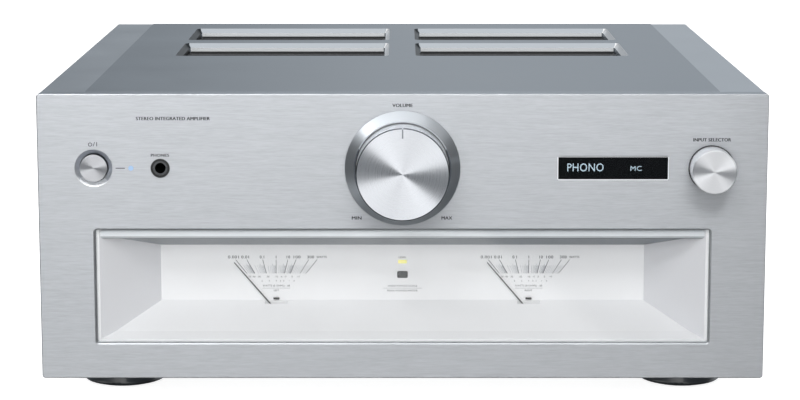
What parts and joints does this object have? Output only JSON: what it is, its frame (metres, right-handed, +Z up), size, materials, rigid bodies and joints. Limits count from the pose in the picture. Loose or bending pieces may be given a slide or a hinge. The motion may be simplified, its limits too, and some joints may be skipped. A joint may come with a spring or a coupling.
{
  "type": "integrated amplifier",
  "caption": "Full-width hi-fi amplifier with a thick silver front plate, a large volume knob, two needle meters behind one wide window, and a vented grey top.",
  "frame": {"origin": "on the surface it stands on, under the middle of its overall box", "axes": "+X right as seen from the front, +Y towards the back, +Z up; the front plate faces -Y"},
  "size_m": [0.43, 0.459, 0.191],
  "materials": {
    "front_aluminium": "fine horizontal brush, silver anodised",
    "knob_aluminium": "turned, silver anodised",
    "top_aluminium": "bead-blasted, grey anodised",
    "side_aluminium": "satin, silver-grey anodised",
    "steel_sheet": "zinc-plated sheet",
    "black_steel": "matte black paint",
    "black_plastic": "moulded, fine matte",
    "gloss_black": "polished smoked acrylic",
    "clear_acrylic": "polished clear acrylic",
    "white_tray": "moulded, matte white",
    "light_bar": "satin translucent",
    "needle_black": "matte black paint",
    "lamp_yellow": "moulded lens",
    "lamp_clear": "clear lens",
    "board": "glass-fibre board with parts",
    "core_wrap": "varnished tape over the windings and core",
    "dark_heatsink": "black anodised",
    "can_sleeve": "shrink sleeve over the can",
    "plated_brass": "gold plate",
    "bright_steel": "nickel plate",
    "foot_plastic": "dark grey, glossy",
    "pad_rubber": "soft rubber",
    "cable_grey": "flat cable"
  },
  "bodies": {
    "case": {"faceplate": "front_aluminium", "front_subpanel": "steel_sheet", "volume_skirt": "front_aluminium", "volume_encoder": "bright_steel", "selector_encoder": "bright_steel", "power_lamp": "lamp_clear", "headphone_socket": "black_plastic", "display_window": "gloss_black", "display_module": "black_plastic", "control_board": "board", "meter_window": "clear_acrylic", "meter_tray": "white_tray", "meter_light_bar": "light_bar", "level_lamp": "lamp_yellow", "remote_sensor": "gloss_black", "left_meter_movement": "black_plastic", "right_meter_movement": "black_plastic", "bottom_chassis": "steel_sheet", "left_side_panel": "side_aluminium", "right_side_panel": "side_aluminium", "top_plate": "top_aluminium", "vent_grille": "black_steel", "rear_panel": "black_steel", "chassis_screws": "bright_steel", "feet": "foot_plastic", "foot_pads": "pad_rubber", "transformer": "core_wrap", "transformer_clamp": "bright_steel", "filter_capacitors": "can_sleeve", "power_supply_board": "board", "left_heatsink": "dark_heatsink", "right_heatsink": "dark_heatsink", "left_amplifier_board": "board", "right_amplifier_board": "board", "power_transistors": "black_plastic", "board_standoffs": "plated_brass", "line_sockets": "plated_brass", "input_board": "board", "usb_socket": "bright_steel", "mains_inlet": "black_plastic", "terminal_posts": "plated_brass", "terminal_insulators": "black_plastic", "ribbon_cable": "cable_grey"},
    "volume_control": {"volume_knob": "knob_aluminium", "volume_shaft": "bright_steel"},
    "selector_control": {"selector_knob": "knob_aluminium", "selector_shaft": "bright_steel"},
    "power_button": {"power_button": "knob_aluminium"},
    "left_needle": {"left_needle": "needle_black"},
    "right_needle": {"right_needle": "needle_black"},
    "ground_washer": {"ground_washer": "bright_steel"},
    "ground_nut": {"ground_nut": "bright_steel"},
    "terminal_1_washer": {"terminal_1_washer": "plated_brass"},
    "terminal_1_cap": {"terminal_1_cap": "plated_brass"},
    "terminal_2_washer": {"terminal_2_washer": "plated_brass"},
    "terminal_2_cap": {"terminal_2_cap": "plated_brass"},
    "terminal_3_washer": {"terminal_3_washer": "plated_brass"},
    "terminal_3_cap": {"terminal_3_cap": "plated_brass"},
    "terminal_4_washer": {"terminal_4_washer": "plated_brass"},
    "terminal_4_cap": {"terminal_4_cap": "plated_brass"}
  },
  "joints": [
    {"name": "volume_turn", "type": "hinge", "parent": "case", "child": "volume_control", "pos_m": [0, -0.2055, 0.147], "axis": [0, 1, 0], "range_deg": [-138, 138]},
    {"name": "selector_turn", "type": "hinge", "parent": "case", "child": "selector_control", "pos_m": [0.182, -0.2055, 0.147], "axis": [0, 1, 0], "continuous": true},
    {"name": "power_press", "type": "slide", "parent": "case", "child": "power_button", "axis": [0, 1, 0], "range_m": [0, 0.002], "stiffness_N_per_m": 900, "springref_m": -0.001},
    {"name": "left_needle_swing", "type": "hinge", "parent": "case", "child": "left_needle", "pos_m": [-0.0769, -0.1695, 0.0532], "axis": [0, 1, 0], "range_deg": [0, 79], "stiffness_Nm_per_rad": 0.00002, "springref_deg": -5.73},
    {"name": "right_needle_swing", "type": "hinge", "parent": "case", "child": "right_needle", "pos_m": [0.0769, -0.1695, 0.0532], "axis": [0, 1, 0], "range_deg": [0, 79], "stiffness_Nm_per_rad": 0.00002, "springref_deg": -5.73},
    {"name": "terminal_1_travel", "type": "slide", "parent": "case", "child": "terminal_1_washer", "axis": [0, 1, 0], "range_m": [0, 0.005]},
    {"name": "terminal_1_unscrew", "type": "hinge", "parent": "terminal_1_washer", "child": "terminal_1_cap", "pos_m": [-0.18, 0.2035, 0.062], "axis": [0, 1, 0], "range_deg": [0, 1440]},
    {"name": "terminal_2_travel", "type": "slide", "parent": "case", "child": "terminal_2_washer", "axis": [0, 1, 0], "range_m": [0, 0.005]},
    {"name": "terminal_2_unscrew", "type": "hinge", "parent": "terminal_2_washer", "child": "terminal_2_cap", "pos_m": [-0.15, 0.2035, 0.062], "axis": [0, 1, 0], "range_deg": [0, 1440]},
    {"name": "terminal_3_travel", "type": "slide", "parent": "case", "child": "terminal_3_washer", "axis": [0, 1, 0], "range_m": [0, 0.005]},
    {"name": "terminal_3_unscrew", "type": "hinge", "parent": "terminal_3_washer", "child": "terminal_3_cap", "pos_m": [0.15, 0.2035, 0.062], "axis": [0, 1, 0], "range_deg": [0, 1440]},
    {"name": "terminal_4_travel", "type": "slide", "parent": "case", "child": "terminal_4_washer", "axis": [0, 1, 0], "range_m": [0, 0.005]},
    {"name": "terminal_4_unscrew", "type": "hinge", "parent": "terminal_4_washer", "child": "terminal_4_cap", "pos_m": [0.18, 0.2035, 0.062], "axis": [0, 1, 0], "range_deg": [0, 1440]},
    {"name": "ground_travel", "type": "slide", "parent": "case", "child": "ground_washer", "axis": [0, 1, 0], "range_m": [0, 0.0021]},
    {"name": "ground_unscrew", "type": "hinge", "parent": "ground_washer", "child": "ground_nut", "pos_m": [-0.192, 0.2035, 0.138], "axis": [0, 1, 0], "range_deg": [0, 1080]}
  ],
  "couplings": [
    {"joint": "terminal_1_unscrew", "follows": "terminal_1_travel", "rad_per_m": 5026.5},
    {"joint": "terminal_2_unscrew", "follows": "terminal_2_travel", "rad_per_m": 5026.5},
    {"joint": "terminal_3_unscrew", "follows": "terminal_3_travel", "rad_per_m": 5026.5},
    {"joint": "terminal_4_unscrew", "follows": "terminal_4_travel", "rad_per_m": 5026.5},
    {"joint": "ground_unscrew", "follows": "ground_travel", "rad_per_m": 8976}
  ]
}
